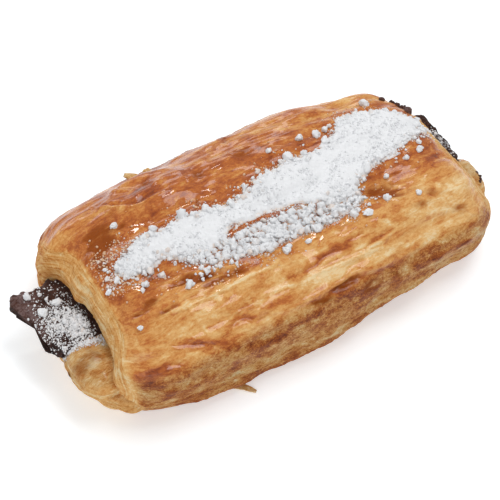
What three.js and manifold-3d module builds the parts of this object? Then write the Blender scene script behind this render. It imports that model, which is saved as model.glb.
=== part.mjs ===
// Pain au chocolat: a pillow of laminated dough wrapped round a flat slab of dark chocolate.
// The slab and a puffed inner fold of dough stick out at both ends, further at the near one (-X).
// Coarse icing sugar lies in a broad stripe along the top and on the chocolate that shows.
// Millimetres. X runs along the roll, Y across it with the front at -Y, and Z is up.
// The origin is on the flat baked underside, below the middle of the roll.
import * as THREE from "three";
import { mergeVertices } from "three/addons/utils/BufferGeometryUtils.js";
import Module from "manifold-3d";

const wasm = await Module();
wasm.setup();

// The outer wrap.
const WRAP_HALF_LENGTH = 67;
const WRAP_WIDTH = 79.8;
const WRAP_HEIGHT = 39.2;
const WIDTH_TAPER = 0.067; // narrower towards the far end
const WIDTH_BULGE = 0.103; // narrower towards both ends
const HEIGHT_TAPER = 0.013;
const HEIGHT_BULGE = 0.144;
const WAIST_SHARE = 0.4; // height of the widest level, as a share of the height
const CROWN_POWER = 2.6; // superellipse power of the section above the waist
const BASE_POWER = 4; // and below it
const FLAT_CUT = 1.5; // how much of the rounded underside the baking tray cuts off
const END_LENGTH = 21; // length over which each end rounds in
const END_SHARE = 0.5; // what is left of the section at the very end
const END_PROFILE = { along: 3, across: 1.8 };
const END_LIFT = 0.2; // how far the underside rises towards the very end, as a share of the waist's height
const NEAR_CORNERS = { back: 3.7, front: 2.5 }; // how far the near end's corners stick out past its middle
const NEAR_LIP = 2.3; // how far the near lip is drawn back over the chocolate and the fold
const FAR_LIP = 0.4; // how far the far lip bulges out over the chocolate
const FAR_CORNER = 5.4; // how far the far end's front corner bulges out at its waist
const MOUTH_DEPTH = 5; // hollow behind the lip, where the filling comes out
const FOOT_TUCK = { near: 3.4, far: 4.4 }; // how far the front's foot is drawn in towards each end

// The puffed inner fold in front of the chocolate and the dough under the chocolate, at each end.
// The near ends are cut slanting: they draw back by this share of the way past a line near the front.
const NEAR_FOLD = { near: -77.6, far: 10, y: -16.2, halfWidth: 10.8, bottom: 8.5, top: 20.3, roundEnd: 7, slant: 0.2 };
const FAR_FOLD = { near: -10, far: 75.1, y: -10.6, halfWidth: 8.2, bottom: 6, top: 20.5, roundEnd: 6.5, slant: 0 };
const NEAR_FLOOR = { near: -75.5, far: 10, y: -9.5, halfWidth: 22.6, bottom: 3, top: 15, roundEnd: 8, slant: 0.3 };
const FAR_FLOOR = { near: -10, far: 69, y: -6, halfWidth: 18, bottom: 3, top: 15, roundEnd: 8, slant: 0 };
const SLANT_START = -15;
const ROLL = { power: 2.7, narrowest: 0.12, nose: 0.55, inset: 0.8, lump: 5 };
const GRID = 0.02; // the corners of the finished solids lie on a grid this fine
const SLIVER = 0.03; // and corners that stand out less than this are left out

// The chocolate.
const SLAB = { near: -79.4, far: 72.4, y: 5, halfWidth: 13.5, z: 17.4, halfThickness: 2.5 };
const SLAB_TIP = 4.2; // the near end's back corner is broken off to a point that reaches this much further
const SLAB_NOTCH = { near: 1, far: 2 }; // and the front corners are broken away
const GAP = 0.35; // clearance between the dough and the chocolate
const MOUTH_GAP = 1.6; // the lip stands this far clear above the slab

// The sugar.
const SUGAR_BED_HEIGHT = 0.8;
const SUGAR_START = -52;
const SUGAR_END = 63;
const CLUMP = { smallest: 0.75, largest: 1.7, sunk: 0.35 };
const CLUMPS_ON_TOP = 100;
const CLUMPS_ON_SLAB = 16;
const SEED = 7;

const clamp = THREE.MathUtils.clamp;
const smoothstep = THREE.MathUtils.smoothstep;

// A repeatable number from 0 to 1 for a corner of the noise grid.
function cornerValue(i, j, k) {
  let h = Math.imul(i, 374761393) ^ Math.imul(j, 668265263) ^ Math.imul(k, 2147483647);
  h = Math.imul(h ^ (h >>> 13), 1274126177);
  return ((h ^ (h >>> 16)) >>> 0) / 4294967295;
}

// Smooth noise from -1 to 1, one bump for each unit of x, y and z.
function noise(x, y, z) {
  const cell = [x, y, z].map(Math.floor);
  const share = [x, y, z].map((v, n) => v - cell[n]).map((f) => f * f * (3 - 2 * f));
  let sum = 0;
  for (let corner = 0; corner < 8; corner++) {
    const step = [corner & 1, (corner >> 1) & 1, corner >> 2];
    const weight = step.reduce((w, s, n) => w * (s ? share[n] : 1 - share[n]), 1);
    sum += weight * cornerValue(cell[0] + step[0], cell[1] + step[1], cell[2] + step[2]);
  }
  return 2 * sum - 1;
}

// A seeded run of numbers from 0 to 1.
function randomRun(seed) {
  let state = seed;
  return () => {
    state = (Math.imul(state, 1664525) + 1013904223) >>> 0;
    return state / 4294967296;
  };
}

// A soft spot with its middle at (x, y), 1 there and fading over the two radii.
function spot(p, x, y, alongRadius, acrossRadius) {
  const d = ((p.x - x) / alongRadius) ** 2 + ((p.y - y) / acrossRadius) ** 2;
  return Math.exp(-d);
}

// A closed body from rings of points, each end closed to the middle of its ring.
function loft(rings) {
  const sides = rings[0].length;
  const points = rings.flat();
  const faces = [];
  for (let i = 0; i + 1 < rings.length; i++) {
    for (let j = 0; j < sides; j++) {
      const a = i * sides + j;
      const b = i * sides + ((j + 1) % sides);
      faces.push(a, a + sides, b, b, a + sides, b + sides);
    }
  }
  const first = points.length;
  const last = first + 1;
  points.push(middle(rings[0]), middle(rings[rings.length - 1]));
  const start = (rings.length - 1) * sides;
  for (let j = 0; j < sides; j++) {
    const next = (j + 1) % sides;
    faces.push(first, j, next, last, start + next, start + j);
  }
  const geometry = new THREE.BufferGeometry().setFromPoints(points);
  geometry.setIndex(faces);
  return geometry;
}

function middle(ring) {
  const sum = ring.reduce((total, p) => total.add(p), new THREE.Vector3());
  return sum.multiplyScalar(1 / ring.length);
}

// A closed geometry as an exact solid.
function solid(geometry) {
  const bare = new THREE.BufferGeometry();
  bare.setAttribute("position", geometry.getAttribute("position"));
  if (geometry.index) bare.setIndex(geometry.index);
  const merged = mergeVertices(bare, 1e-4);
  const faces = [];
  for (let i = 0; i < merged.index.count; i += 3) {
    const [a, b, c] = merged.index.array.slice(i, i + 3);
    if (a !== b && b !== c && c !== a) faces.push(a, b, c);
  }
  const made = new wasm.Manifold(
    new wasm.Mesh({
      numProp: 3,
      vertProperties: merged.getAttribute("position").array,
      triVerts: new Uint32Array(faces),
    }),
  );
  if (made.volume() > 0) return made;
  const turned = merged.clone();
  turned.setIndex(faces.reverse());
  return solid(turned);
}

function geometryOf(body) {
  const found = body.getMesh();
  const geometry = new THREE.BufferGeometry();
  geometry.setAttribute("position", new THREE.BufferAttribute(found.vertProperties, 3));
  geometry.setIndex(new THREE.BufferAttribute(found.triVerts, 1));
  return geometry;
}

// The same solid without slivers: its corners are set on a fine grid, so that those that nearly meet are one.
function cleaned(body) {
  const geometry = geometryOf(body);
  const position = geometry.getAttribute("position");
  position.array.forEach((v, i) => (position.array[i] = Math.round(v / GRID) * GRID));
  return solid(geometry).simplify(SLIVER);
}

// A solid as a named mesh, without slivers and loose scraps.
function part(name, body, colour, roughness) {
  const largest = cleaned(body).decompose().reduce((a, b) => (b.volume() > a.volume() ? b : a));
  const geometry = geometryOf(largest);
  geometry.computeVertexNormals();
  const material = new THREE.MeshStandardMaterial({ color: colour, roughness, metalness: 0 });
  const mesh = new THREE.Mesh(geometry, material);
  mesh.name = name;
  return mesh;
}

// A point of a superellipse quarter by quarter: the share of the two half axes at an angle.
function rounded(angle, power) {
  const c = Math.cos(angle);
  const s = Math.sin(angle);
  return [Math.sign(c) * Math.abs(c) ** (2 / power), Math.sign(s) * Math.abs(s) ** (2 / power)];
}

// The section of the wrap at a station: half width, height and the level of the waist.
function wrapSection(x) {
  const s = x / WRAP_HALF_LENGTH;
  const height = WRAP_HEIGHT * (1 - HEIGHT_TAPER * s - HEIGHT_BULGE * s * s);
  return {
    halfWidth: (WRAP_WIDTH / 2) * (1 - WIDTH_TAPER * s - WIDTH_BULGE * s * s),
    height,
    waist: WAIST_SHARE * height,
  };
}

// A point of the smooth wrap, for a station, the share of the section there, and an angle from the back.
function wrapBase(x, share, angle) {
  const { halfWidth, height, waist } = wrapSection(x);
  const above = Math.sin(angle) >= 0;
  const [across, up] = rounded(angle, above ? CROWN_POWER : BASE_POWER);
  const reach = above ? height - waist : waist + FLAT_CUT;
  const lift = END_LIFT * smoothstep(1 - share, 0, 1 - END_SHARE);
  const z = Math.max(0, waist + up * reach * (above ? share : 1 - lift));
  const y = across * halfWidth * share;
  return new THREE.Vector3(x + endShift(x, y, z), y + footTuck(x, y, z), z);
}

// How far a place low on the front is drawn in.
function footTuck(x, y, z) {
  const towardsEnds = FOOT_TUCK.near * smoothstep(-x, 22, 58) + FOOT_TUCK.far * smoothstep(x, -4, 62);
  return towardsEnds * (1 - smoothstep(z, 3, 17)) * smoothstep(-y, 4, 16);
}

// How far a place near an end is pushed along the roll: the near corners, the far end's front corner and the
// far lip stick out, and the near lip is drawn back.
function endShift(x, y, z) {
  const nearLip = NEAR_LIP * (1 - smoothstep(y, 16, 23)) * (1 - smoothstep(-y, 20, 27));
  const corners =
    NEAR_CORNERS.back * smoothstep(y, 12, 25) + NEAR_CORNERS.front * smoothstep(-y, 16, 27);
  const overChocolate = 1 - smoothstep(Math.abs(y - SLAB.y), SLAB.halfWidth - 3, SLAB.halfWidth + 9);
  const farCorner = FAR_CORNER * smoothstep(-y, 8, 17) * (1 - 0.6 * smoothstep(z, 15, 28));
  const far = farCorner * smoothstep(x, 44, 59) + FAR_LIP * overChocolate * smoothstep(x, 52, 66);
  return far + (nearLip - corners) * smoothstep(-x, 50, 66);
}

// The stripe of sugar: how far along a point is inside it, from 0 to 1.
function sugarCover(p) {
  const along = (p.x - SUGAR_START) / (SUGAR_END - SUGAR_START);
  const line = -2.5 + 8 * smoothstep(p.x, -10, 40);
  const halfWidth = 4.5 + 5 * smoothstep(p.x, -30, 35) - 3 * smoothstep(p.x, 48, 64);
  const ragged = 2.6 * noise(p.x / 6, p.y / 5, 3);
  const inside = halfWidth + ragged - Math.abs(p.y - line);
  const ends = Math.min(along, 1 - along) * 30;
  return smoothstep(Math.min(inside, ends), 0, 1.6) * smoothstep(p.z, 26, 29);
}

// What baking does to the smooth wrap: swellings, hollows, ridges along the roll and a wrinkle.
function wrapRelief(p) {
  const swell = 1.1 * noise(p.x / 19 + 5, p.y / 10, p.z / 12) + 0.7 * noise(p.x / 11, p.y / 5 + 9, p.z / 6);
  const blister = 1.2 * smoothstep(spot(p, -31, 22, 17, 10), 0.3, 0.6);
  const nearHollow = -1.6 * spot(p, -53, 12, 6, 9) - 0.9 * spot(p, -52, 33, 9, 8);
  const farHollow = -1.9 * spot(p, 32, -13, 12, 4.5);
  const back = 1.9 * spot(p, 28, 36, 16, 9) - 1.1 * spot(p, -17, 36, 9, 8);
  const shoulder = 1.2 * spot(p, 10, -25, 45, 4);
  const wrinkle = -1.5 * spot(p, -30, -31, 10, 1.6);
  const footSeam = p.y < 0 ? -0.8 * Math.exp(-(((p.z - 8.5) / 1.8) ** 2)) : 0;
  const grip = smoothstep(p.z, 0, 6); // nothing shows on the tray side
  return grip * (swell + blister + nearHollow + farHollow + back + shoulder + wrinkle + footSeam);
}

const UPPER_SIDES = 36;
const LOWER_SIDES = 12;
const MIDDLE_RINGS = 30;
const END_RINGS = 9;
const SLAB_SIDES = 20;

function sectionAngles() {
  const upper = Array.from({ length: UPPER_SIDES }, (_, j) => (Math.PI * j) / UPPER_SIDES);
  const lower = Array.from({ length: LOWER_SIDES }, (_, j) => Math.PI * (1 + j / LOWER_SIDES));
  return [...upper, ...lower];
}

// Stations along the wrap, each with the share of the section there: in from the mouth, over the lip and along.
function wrapStations() {
  const straight = WRAP_HALF_LENGTH - END_LENGTH;
  const end = Array.from({ length: END_RINGS + 1 }, (_, i) => {
    const turn = (Math.PI / 2) * (1 - i / END_RINGS);
    const along = Math.sin(turn) ** (2 / END_PROFILE.along);
    const share = END_SHARE + (1 - END_SHARE) * Math.cos(turn) ** (2 / END_PROFILE.across);
    return { x: -straight - END_LENGTH * along, share };
  });
  const mouth = [
    { x: -WRAP_HALF_LENGTH + MOUTH_DEPTH, share: END_SHARE * 0.8 },
    { x: -WRAP_HALF_LENGTH + 1, share: END_SHARE * 0.92 },
  ];
  const near = [...mouth, ...end];
  const along = Array.from({ length: MIDDLE_RINGS - 1 }, (_, i) => ({
    x: straight * (-1 + (2 * (i + 1)) / MIDDLE_RINGS),
    share: 1,
  }));
  const far = near.map(({ x, share }) => ({ x: -x, share })).reverse();
  return [...near, ...along, ...far];
}

function wrap() {
  const angles = sectionAngles();
  const stations = wrapStations();
  const base = stations.map(({ x, share }) => angles.map((a) => wrapBase(x, share, a)));
  const rings = base.map((ring, i) =>
    ring.map((p, j) => {
      const lengthwise = base[Math.min(i + 1, base.length - 1)][j].clone();
      lengthwise.sub(base[Math.max(i - 1, 0)][j]);
      const across = ring[(j + 1) % ring.length].clone().sub(ring[(j + ring.length - 1) % ring.length]);
      const outward = across.cross(lengthwise).normalize();
      const lumps = 0.35 * noise(p.x / 2.2, p.y / 2.2, 11);
      const sugar = sugarCover(p) * (SUGAR_BED_HEIGHT + lumps);
      const moved = p.clone().addScaledVector(outward, wrapRelief(p) + sugar);
      moved.z = p.z === 0 ? 0 : Math.max(moved.z, 0.3);
      return moved;
    }),
  );
  return solid(loft(rings));
}

// A flattened roll along X with round ends: an inner fold, or a layer under the chocolate.
function innerRoll({ near, far, y, halfWidth, bottom, top, roundEnd, slant }, stations, sides, roughen) {
  const rings = [];
  const waist = (top + bottom) / 2;
  for (let i = 0; i <= stations; i++) {
    const turn = (Math.PI * i) / stations;
    const atEnd = Math.cos(turn);
    const inset = roundEnd * (1 - Math.abs(atEnd) ** ROLL.inset);
    const x = atEnd > 0 ? near + inset : far - inset;
    const share = Math.max(ROLL.narrowest, Math.sin(turn)) ** ROLL.nose;
    rings.push({ x, share });
  }
  return solid(
    loft(
      rings.map(({ x, share }) =>
        Array.from({ length: sides }, (_, j) => {
          const [across, up] = rounded((2 * Math.PI * j) / sides, ROLL.power);
          const z = waist + (up * (top - bottom) * share) / 2;
          const p = new THREE.Vector3(x, y + across * halfWidth * share, z);
          if (x < 0) p.x += slant * Math.max(0, SLANT_START - p.y);
          p.z += roughen * smoothstep(z, bottom, waist) * noise(p.x / ROLL.lump, p.y / ROLL.lump, p.z / ROLL.lump);
          return p;
        }),
      ),
    ),
  );
}

// How much the slab's edge is chipped at a place along it.
function chips(v) {
  return 0.9 * noise(v / 3.1, 0, 21) + 0.5 * noise(v / 1.3, 4, 22);
}

// Stations along the slab, close together where it shows and far apart inside the dough.
function slabStations(grown) {
  const run = (from, to, count) =>
    Array.from({ length: count }, (_, i) => THREE.MathUtils.lerp(from, to, i / count));
  return [
    ...run(SLAB.near - grown, -62, 16),
    ...run(-62, 62, 5),
    ...run(62, SLAB.far + 2 * grown, 7),
    SLAB.far + 2 * grown,
  ];
}

// The slab of chocolate: chipped where it shows. Grown by a margin it is the channel through the dough,
// which has more room above the slab at the mouths.
function slab(grown, mouthRoom) {
  const rough = grown === 0;
  const stations = slabStations(grown);
  return solid(
    loft(
      stations.map((x, i) => {
        const pinch = i === 0 || i === stations.length - 1 ? 0.5 : 1;
        const shows = smoothstep(Math.abs(x), 64, 68);
        const nearShare = clamp((-70 - x) / 10, 0, 1);
        const farShare = clamp((x - 64) / 7, 0, 1);
        return Array.from({ length: SLAB_SIDES }, (_, j) => {
          const [across, up] = rounded((2 * Math.PI * j) / SLAB_SIDES, 5);
          const free = across > 0 || x < NEAR_FOLD.near; // the front edge lies against the fold
          const ragged = rough && free ? shows * chips(x) * across : 0;
          const y = SLAB.y + across * (SLAB.halfWidth + grown) + ragged + (rough ? 0 : shows * across);
          const crust = rough && up > 0 ? 0.35 * shows * noise(x / 2.5, y / 2.5, 31) : 0;
          const roomAbove = up > 0 ? mouthRoom * smoothstep(Math.abs(x), 52, 62) : 0;
          const z = SLAB.z + up * (SLAB.halfThickness + grown) * pinch + crust + roomAbove;
          const tip = -SLAB_TIP * nearShare * smoothstep(across, 0.2, 1);
          const broken = SLAB_NOTCH.near * nearShare - (SLAB_NOTCH.far - 3 * grown) * farShare;
          const notch = broken * smoothstep(-across, 0.55, 1);
          const brokenEdge = rough ? nearShare * chips(y * 1.3 + 90) : 0;
          return new THREE.Vector3(x + tip + notch + brokenEdge, y, z);
        });
      }),
    ),
  );
}

// A crumb or clump of sugar: a small uneven ball.
function clump(at, radius, turn) {
  const ball = new THREE.IcosahedronGeometry(radius, 0);
  const position = ball.getAttribute("position");
  const p = new THREE.Vector3();
  for (let i = 0; i < position.count; i++) {
    p.fromBufferAttribute(position, i);
    const key = p.clone().multiplyScalar(4 / radius).round();
    p.multiplyScalar(1 + 0.16 * noise(key.x + at.x, key.y + at.y, key.z));
    p.applyAxisAngle(new THREE.Vector3(0.3, 0.5, 0.81).normalize(), turn);
    position.setXYZ(i, p.x + at.x, p.y + at.y, p.z + at.z);
  }
  return solid(ball);
}

// The height of the wrap's top over a place, from its section.
function wrapTop(x, y) {
  const { halfWidth, height, waist } = wrapSection(x);
  const past = clamp((Math.abs(x) - (WRAP_HALF_LENGTH - END_LENGTH)) / END_LENGTH, 0, 1);
  const cut = (1 - past ** END_PROFILE.along) ** (1 / END_PROFILE.across);
  const share = END_SHARE + (1 - END_SHARE) * cut;
  const inward = 1 - Math.min(1, Math.abs(y) / (halfWidth * share)) ** CROWN_POWER;
  const p = new THREE.Vector3(x, y, waist + (height - waist) * share * inward ** (1 / CROWN_POWER));
  p.z += wrapRelief(p) + SUGAR_BED_HEIGHT * sugarCover(p);
  return p;
}

// Larger clumps of sugar, most of them along the edges of the stripe and a few strays.
function clumpsOnTop() {
  const draw = randomRun(SEED);
  return Array.from({ length: CLUMPS_ON_TOP }, () => {
    const x = THREE.MathUtils.lerp(SUGAR_START - 4, SUGAR_END - 4, draw());
    const line = -2.5 + 8 * smoothstep(x, -10, 40);
    const halfWidth = 5 + 5 * smoothstep(x, -30, 35);
    const side = draw() < 0.62 ? -1 : 1;
    const y = line + side * (halfWidth * (0.45 + 0.55 * draw()) + 3.5 * draw() ** 2);
    const size = THREE.MathUtils.lerp(CLUMP.smallest, CLUMP.largest, draw() ** 2);
    const at = wrapTop(x, y);
    at.z += size * (1 - 2 * CLUMP.sunk);
    return clump(at, size, 6 * draw());
  });
}

function clumpsOnSlab() {
  const draw = randomRun(SEED + 1);
  return Array.from({ length: CLUMPS_ON_SLAB }, () => {
    const x = THREE.MathUtils.lerp(-78, -69.5, draw());
    const y = THREE.MathUtils.lerp(-4.5, 15, draw());
    const size = THREE.MathUtils.lerp(0.6, 1.3, draw() ** 2);
    return clump(new THREE.Vector3(x, y, SLAB.z + SLAB.halfThickness - 0.1), size, 6 * draw());
  });
}

// A thin flake of crust that stands off the side, from a point on the side to its tip.
function flake(root, tip, width) {
  const along = tip.clone().sub(root);
  const sideways = new THREE.Vector3(0, 0, 1).cross(along).setLength(width / 2);
  const thickness = new THREE.Vector3(0, 0, 0.45);
  const corner = (at, s, t) => at.clone().addScaledVector(sideways, s).addScaledVector(thickness, t);
  const rings = [0, 0.5, 0.85, 1].map((share) => {
    const at = root.clone().addScaledVector(along, share);
    at.z += 0.9 * Math.sin(3 * share);
    const wide = 1 - 0.75 * share ** 3;
    return [corner(at, -wide, -1), corner(at, wide, -1), corner(at, wide, 1), corner(at, -wide, 1)];
  });
  return solid(loft(rings));
}

function flakes() {
  return [
    flake(new THREE.Vector3(-28, 31, 30), new THREE.Vector3(-31.5, 37.5, 32.5), 3.6),
    flake(new THREE.Vector3(-24, 31, 29), new THREE.Vector3(-24, 34.5, 32.5), 5),
    flake(new THREE.Vector3(-31, -35, 3.5), new THREE.Vector3(-27, -40.5, 1.6), 4.5),
    flake(new THREE.Vector3(-10, -35, 5), new THREE.Vector3(-9, -39.5, 3.5), 3.5),
  ];
}

function pastry() {
  const folds = [NEAR_FOLD, FAR_FOLD].map((shape) => innerRoll(shape, 20, 20, 0.8));
  const floors = [NEAR_FLOOR, FAR_FLOOR].map((shape) => innerRoll(shape, 14, 14, 0.3));
  const dough = wasm.Manifold.union([wrap(), ...folds, ...floors, ...flakes()]);
  const channelled = dough.subtract(slab(GAP, MOUTH_GAP));
  return wasm.Manifold.union([channelled, ...clumpsOnTop()]);
}

function chocolate() {
  return wasm.Manifold.union([slab(0, 0), ...clumpsOnSlab()]);
}

const painAuChocolat = new THREE.Group();
painAuChocolat.add(part("pastry", pastry(), 0xc4813f, 0.35));
painAuChocolat.add(part("chocolate", chocolate(), 0x3a2119, 0.6));

export default painAuChocolat;
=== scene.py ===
"""Pain au chocolat: a glazed pillow of laminated dough round a slab of dark chocolate, under icing sugar.

Shapes are worked out in millimetres in the part's own frame, and become metres when a mesh is made.
A place on the crust is given as (x, v): x runs along the roll, and v is the way round it from the crown,
minus towards the back and plus towards the front. A mark is a soft long spot on the crust:
(x, v, half length, half width, tilt in degrees, strength). A crease is a line through a few places.
"""
import math
import bmesh
import bpy
import numpy as np
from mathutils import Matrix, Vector
from mathutils.bvhtree import BVHTree


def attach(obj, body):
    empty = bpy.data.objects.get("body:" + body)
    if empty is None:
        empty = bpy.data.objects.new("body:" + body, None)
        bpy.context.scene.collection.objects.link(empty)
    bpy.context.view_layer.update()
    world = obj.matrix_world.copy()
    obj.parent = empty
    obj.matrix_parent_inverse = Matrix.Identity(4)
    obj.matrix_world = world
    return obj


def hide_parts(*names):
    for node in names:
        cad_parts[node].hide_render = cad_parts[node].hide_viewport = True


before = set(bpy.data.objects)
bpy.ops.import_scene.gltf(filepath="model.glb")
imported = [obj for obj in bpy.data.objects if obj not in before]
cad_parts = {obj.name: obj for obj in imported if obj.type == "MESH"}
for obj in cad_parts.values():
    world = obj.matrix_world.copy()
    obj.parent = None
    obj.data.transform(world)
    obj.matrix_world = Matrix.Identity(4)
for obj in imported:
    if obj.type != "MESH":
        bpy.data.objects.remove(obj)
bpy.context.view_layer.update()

MM = 0.001

# The photograph's view: the camera looks at a point inside the roll, from the front and a little to the left.
VIEW_AZIMUTH = -30.28
VIEW_ELEVATION = 51.65
VIEW_DISTANCE = 0.6
VIEW_TARGET = Vector((-0.007, -0.0021, 0.018))
LENS = 135
SENSOR = 36

# The outer wrap, with the solid's own driving sizes.
WRAP_HALF_LENGTH = 67
WRAP_WIDTH = 79.8
WRAP_HEIGHT = 39.2
WIDTH_TAPER = 0.067
WIDTH_BULGE = 0.103
HEIGHT_TAPER = 0.013
HEIGHT_BULGE = 0.144
WAIST_SHARE = 0.4
CROWN_POWER = 2.6
BASE_POWER = 4
FLAT_CUT = 1.5
END_LENGTH = 21
END_SHARE = 0.5
END_ALONG = 3
END_ACROSS = 1.8
END_LIFT = 0.2
NEAR_CORNER_BACK = 3.7
NEAR_CORNER_FRONT = 2.5
NEAR_LIP = 2.3
FAR_LIP = 0.4
FAR_CORNER = 5.4
NEAR_TUCK = 3.4
FAR_TUCK = 4.4
SIDE_GIRTH = 60  # how far round from the crown the sides reach, where the underside begins
CRUST_STEP = 0.5
UNDERSIDE_STEP = 2.4
TEXTURE_LIP = 14  # how far from the lip the dough's leaves still follow it

# The puffed inner folds and the dough under the chocolate: name, the end that shows, y, half width, top and bottom,
# the length of the round end, and how much the front of a near end is cut back.
ROLLS = [
    ("near_fold", -77.6, -16.2, 10.8, 20.3, 8.5, 7, 0.2),
    ("far_fold", 75.1, -10.6, 8.2, 20.5, 6, 6.5, 0),
    ("near_floor", -75.5, -9.5, 22.6, 15, 3, 8, 0.3),
    ("far_floor", 69, -6, 18, 15, 3, 8, 0),
]
ROLL_DEPTH = 18  # how far inside the wrap a roll still goes on
FOLD_DUST_Y = -9.3  # where the sugar lies on the near fold's border with the chocolate
SLANT_START = -15
SLAB_NEAR = -79.4
SLAB_FAR = 72.4
SLAB_Y = 5
SLAB_HALF_WIDTH = 13.5
SLAB_Z = 17.4
SLAB_HALF_THICKNESS = 2.5
SLAB_POWER = 9
SLAB_TIP = 4.2
SLAB_NEAR_NOTCH = 1
SLAB_FAR_NOTCH = 2


# Camera, stage and light


def place_camera():
    azimuth = math.radians(VIEW_AZIMUTH)
    elevation = math.radians(VIEW_ELEVATION)
    level = math.cos(elevation)
    back = Vector((math.sin(azimuth) * level, -math.cos(azimuth) * level, math.sin(elevation)))
    data = bpy.data.cameras.new("camera")
    data.lens = LENS
    data.sensor_width = SENSOR
    data.clip_start = 0.01
    data.clip_end = 20
    camera = bpy.data.objects.new("camera", data)
    camera.location = VIEW_TARGET + back * VIEW_DISTANCE
    camera.rotation_mode = "QUATERNION"
    camera.rotation_quaternion = (-back).to_track_quat("-Z", "Y")
    bpy.context.scene.collection.objects.link(camera)
    bpy.context.scene.camera = camera


def place_light(name, position, size, power):
    data = bpy.data.lights.new(name, "AREA")
    data.shape = "RECTANGLE"
    data.size = size[0]
    data.size_y = size[1]
    data.energy = power
    light = bpy.data.objects.new(name, data)
    light.location = position
    light.rotation_mode = "QUATERNION"
    light.rotation_quaternion = Vector(position).to_track_quat("Z", "Y")
    bpy.context.scene.collection.objects.link(light)


def light_the_table():
    world = bpy.data.worlds.new("tent")
    world.use_nodes = True
    background = world.node_tree.nodes["Background"]
    background.inputs["Color"].default_value = (1, 1, 1, 1)
    background.inputs["Strength"].default_value = 0.43
    bpy.context.scene.world = world
    bpy.context.scene.view_settings.view_transform = "Standard"
    place_light("overhead_softbox", (0.24, -0.05, 0.85), (0.5, 0.35), 3.2)
    place_light("back_panel", (0.05, 0.9, 0.4), (0.9, 0.2), 1.9)
    place_light("front_fill", (-0.75, -0.6, 0.55), (0.9, 0.7), 2.6)
    place_light("glint_lamp", (0.12, 0.42, 0.75), (0.09, 0.05), 0.55)


# Materials


def srgb(red, green, blue):
    """A colour as the shader wants it, from the numbers from 0 to 255 that a painter would mix it by."""
    shares = [c / 255 for c in (red, green, blue)]
    linear = [s / 12.92 if s <= 0.04045 else ((s + 0.055) / 1.055) ** 2.4 for s in shares]
    return (*linear, 1)


class Value:
    """A number that changes over the surface. Its arithmetic adds Math nodes to its finish."""

    def __init__(self, finish, socket):
        self.finish = finish
        self.socket = socket

    def __add__(self, other):
        return self.finish.maths("ADD", self, other)

    def __radd__(self, other):
        return self.finish.maths("ADD", other, self)

    def __sub__(self, other):
        return self.finish.maths("SUBTRACT", self, other)

    def __rsub__(self, other):
        return self.finish.maths("SUBTRACT", other, self)

    def __mul__(self, other):
        return self.finish.maths("MULTIPLY", self, other)

    def __rmul__(self, other):
        return self.finish.maths("MULTIPLY", other, self)

    def held(self):
        """The value kept between 0 and 1."""
        return self.finish.maths("ADD", self, 0.0, clamp=True)

    def rising(self, low, high):
        """0 below low and 1 above high, smooth between them."""
        made = self.finish.node(
            "ShaderNodeMapRange",
            {"interpolation_type": "SMOOTHSTEP"},
            {"Value": self, "From Min": low, "From Max": high},
        )
        return Value(self.finish, made.outputs["Result"])


class Finish:
    """A material whose shader's constant sockets are set at once and whose changing ones are fed by nodes."""

    def __init__(self, name, constants):
        self.material = bpy.data.materials.new(name)
        self.material.use_nodes = True
        self.tree = self.material.node_tree
        self.shader = self.tree.nodes["Principled BSDF"]
        for socket, value in constants.items():
            self.shader.inputs[socket].default_value = value

    def node(self, kind, settings, inputs):
        made = self.tree.nodes.new(kind)
        for key, value in settings.items():
            if key == "stops":
                self.set_stops(made.color_ramp, value)
            else:
                setattr(made, key, value)
        for key, value in inputs.items():
            self.feed(made.inputs[key], value)
        return made

    def set_stops(self, ramp, stops):
        while len(ramp.elements) < len(stops):
            ramp.elements.new(1)
        for element, (place, colour) in zip(ramp.elements, stops):
            element.position = place
            element.color = colour

    def feed(self, socket, value):
        if isinstance(value, Value):
            self.tree.links.new(value.socket, socket)
        elif isinstance(value, bpy.types.NodeSocket):
            self.tree.links.new(value, socket)
        else:
            socket.default_value = value

    def maths(self, operation, first, second, clamp=False):
        settings = {"operation": operation, "use_clamp": clamp}
        return Value(self, self.node("ShaderNodeMath", settings, {0: first, 1: second}).outputs[0])

    def field(self, name):
        """A number kept on the mesh's points."""
        made = self.node("ShaderNodeAttribute", {"attribute_name": name}, {})
        return Value(self, made.outputs["Fac"])

    def stretched(self, scales):
        """The place on the piece in millimetres, squeezed along some of its directions."""
        made = self.node("ShaderNodeAttribute", {"attribute_name": "place"}, {})
        scaled = self.node(
            "ShaderNodeVectorMath", {"operation": "MULTIPLY"}, {0: made.outputs["Vector"], 1: scales}
        )
        return scaled.outputs["Vector"]

    def noise(self, scales, detail=3.0, roughness=0.5, distortion=0.0):
        made = self.node(
            "ShaderNodeTexNoise",
            {},
            {
                "Vector": self.stretched(scales),
                "Scale": 1.0,
                "Detail": detail,
                "Roughness": roughness,
                "Distortion": distortion,
            },
        )
        return Value(self, made.outputs["Fac"])

    def cells(self, scales):
        """The distance to the nearest of many scattered points."""
        made = self.node("ShaderNodeTexVoronoi", {}, {"Vector": self.stretched(scales), "Scale": 1.0})
        return Value(self, made.outputs["Distance"])

    def ramp(self, value, stops):
        return self.node("ShaderNodeValToRGB", {"stops": stops}, {"Fac": value}).outputs["Color"]

    def mix(self, mask, first, second):
        made = self.node(
            "ShaderNodeMix", {"data_type": "RGBA"}, {"Factor": mask, 6: first, 7: second}
        )
        return made.outputs[2]

    def finish_with(self, colour, roughness, bump, depth, coat=None):
        """Feeds the shader. The bump's height is in shares of its depth in millimetres."""
        self.feed(self.shader.inputs["Base Color"], colour)
        self.feed(self.shader.inputs["Roughness"], roughness)
        if coat is not None:
            self.feed(self.shader.inputs["Coat Weight"], coat)
        relief = self.node("ShaderNodeBump", {}, {"Distance": depth * MM, "Height": bump})
        self.feed(self.shader.inputs["Normal"], relief.outputs["Normal"])
        return self.material


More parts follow.
